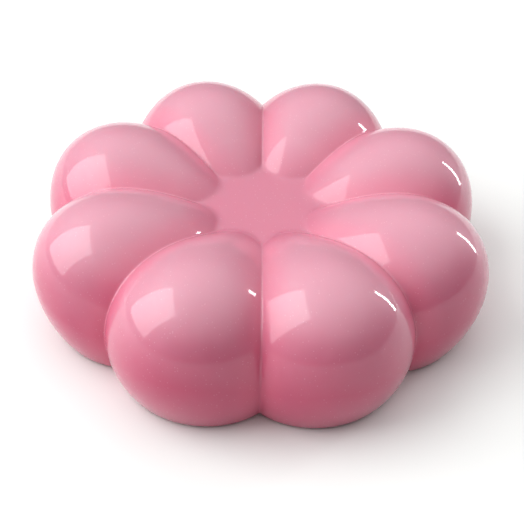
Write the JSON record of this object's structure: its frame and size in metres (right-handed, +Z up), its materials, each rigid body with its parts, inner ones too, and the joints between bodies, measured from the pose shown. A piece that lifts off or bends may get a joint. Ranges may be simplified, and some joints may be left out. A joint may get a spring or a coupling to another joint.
{
  "type": "resin casting mould",
  "caption": "Flower-shaped resin casting mould: a soft hollow shell of puffy petals over a stiff closing plate with a pour plug and vent plugs.",
  "frame": {"origin": "on the bench, under the middle of the flower, level with the mould's rim", "axes": "+Z up along the flower's axis, out of its closed side; a crease between two petals faces -Y"},
  "size_m": [0.1428, 0.1428, 0.0451],
  "materials": {
    "shell_silicone": "glossy pink silicone",
    "plate_plastic": "fine-grained milky white plastic",
    "plug_silicone": "satin deeper pink silicone"
  },
  "bodies": {
    "plate": {"closing_plate": "plate_plastic"},
    "shell": {"flower_shell": "shell_silicone"},
    "pour_stopper": {"pour_plug": "plug_silicone"},
    "vent_stopper_1": {"vent_plug_1": "plug_silicone"},
    "vent_stopper_2": {"vent_plug_2": "plug_silicone"},
    "vent_stopper_3": {"vent_plug_3": "plug_silicone"},
    "vent_stopper_4": {"vent_plug_4": "plug_silicone"},
    "vent_stopper_5": {"vent_plug_5": "plug_silicone"},
    "vent_stopper_6": {"vent_plug_6": "plug_silicone"},
    "vent_stopper_7": {"vent_plug_7": "plug_silicone"},
    "vent_stopper_8": {"vent_plug_8": "plug_silicone"}
  },
  "joints": [
    {"name": "shell_lift", "type": "slide", "parent": "plate", "child": "shell", "axis": [0, 0, 1], "range_m": [0, 0.08]},
    {"name": "pour_plug_pull", "type": "slide", "parent": "plate", "child": "pour_stopper", "axis": [0, 0, -1], "range_m": [0, 0.012]},
    {"name": "vent_plug_1_pull", "type": "slide", "parent": "plate", "child": "vent_stopper_1", "axis": [0, 0, -1], "range_m": [0, 0.012]},
    {"name": "vent_plug_2_pull", "type": "slide", "parent": "plate", "child": "vent_stopper_2", "axis": [0, 0, -1], "range_m": [0, 0.012]},
    {"name": "vent_plug_3_pull", "type": "slide", "parent": "plate", "child": "vent_stopper_3", "axis": [0, 0, -1], "range_m": [0, 0.012]},
    {"name": "vent_plug_4_pull", "type": "slide", "parent": "plate", "child": "vent_stopper_4", "axis": [0, 0, -1], "range_m": [0, 0.012]},
    {"name": "vent_plug_5_pull", "type": "slide", "parent": "plate", "child": "vent_stopper_5", "axis": [0, 0, -1], "range_m": [0, 0.012]},
    {"name": "vent_plug_6_pull", "type": "slide", "parent": "plate", "child": "vent_stopper_6", "axis": [0, 0, -1], "range_m": [0, 0.012]},
    {"name": "vent_plug_7_pull", "type": "slide", "parent": "plate", "child": "vent_stopper_7", "axis": [0, 0, -1], "range_m": [0, 0.012]},
    {"name": "vent_plug_8_pull", "type": "slide", "parent": "plate", "child": "vent_stopper_8", "axis": [0, 0, -1], "range_m": [0, 0.012]}
  ]
}
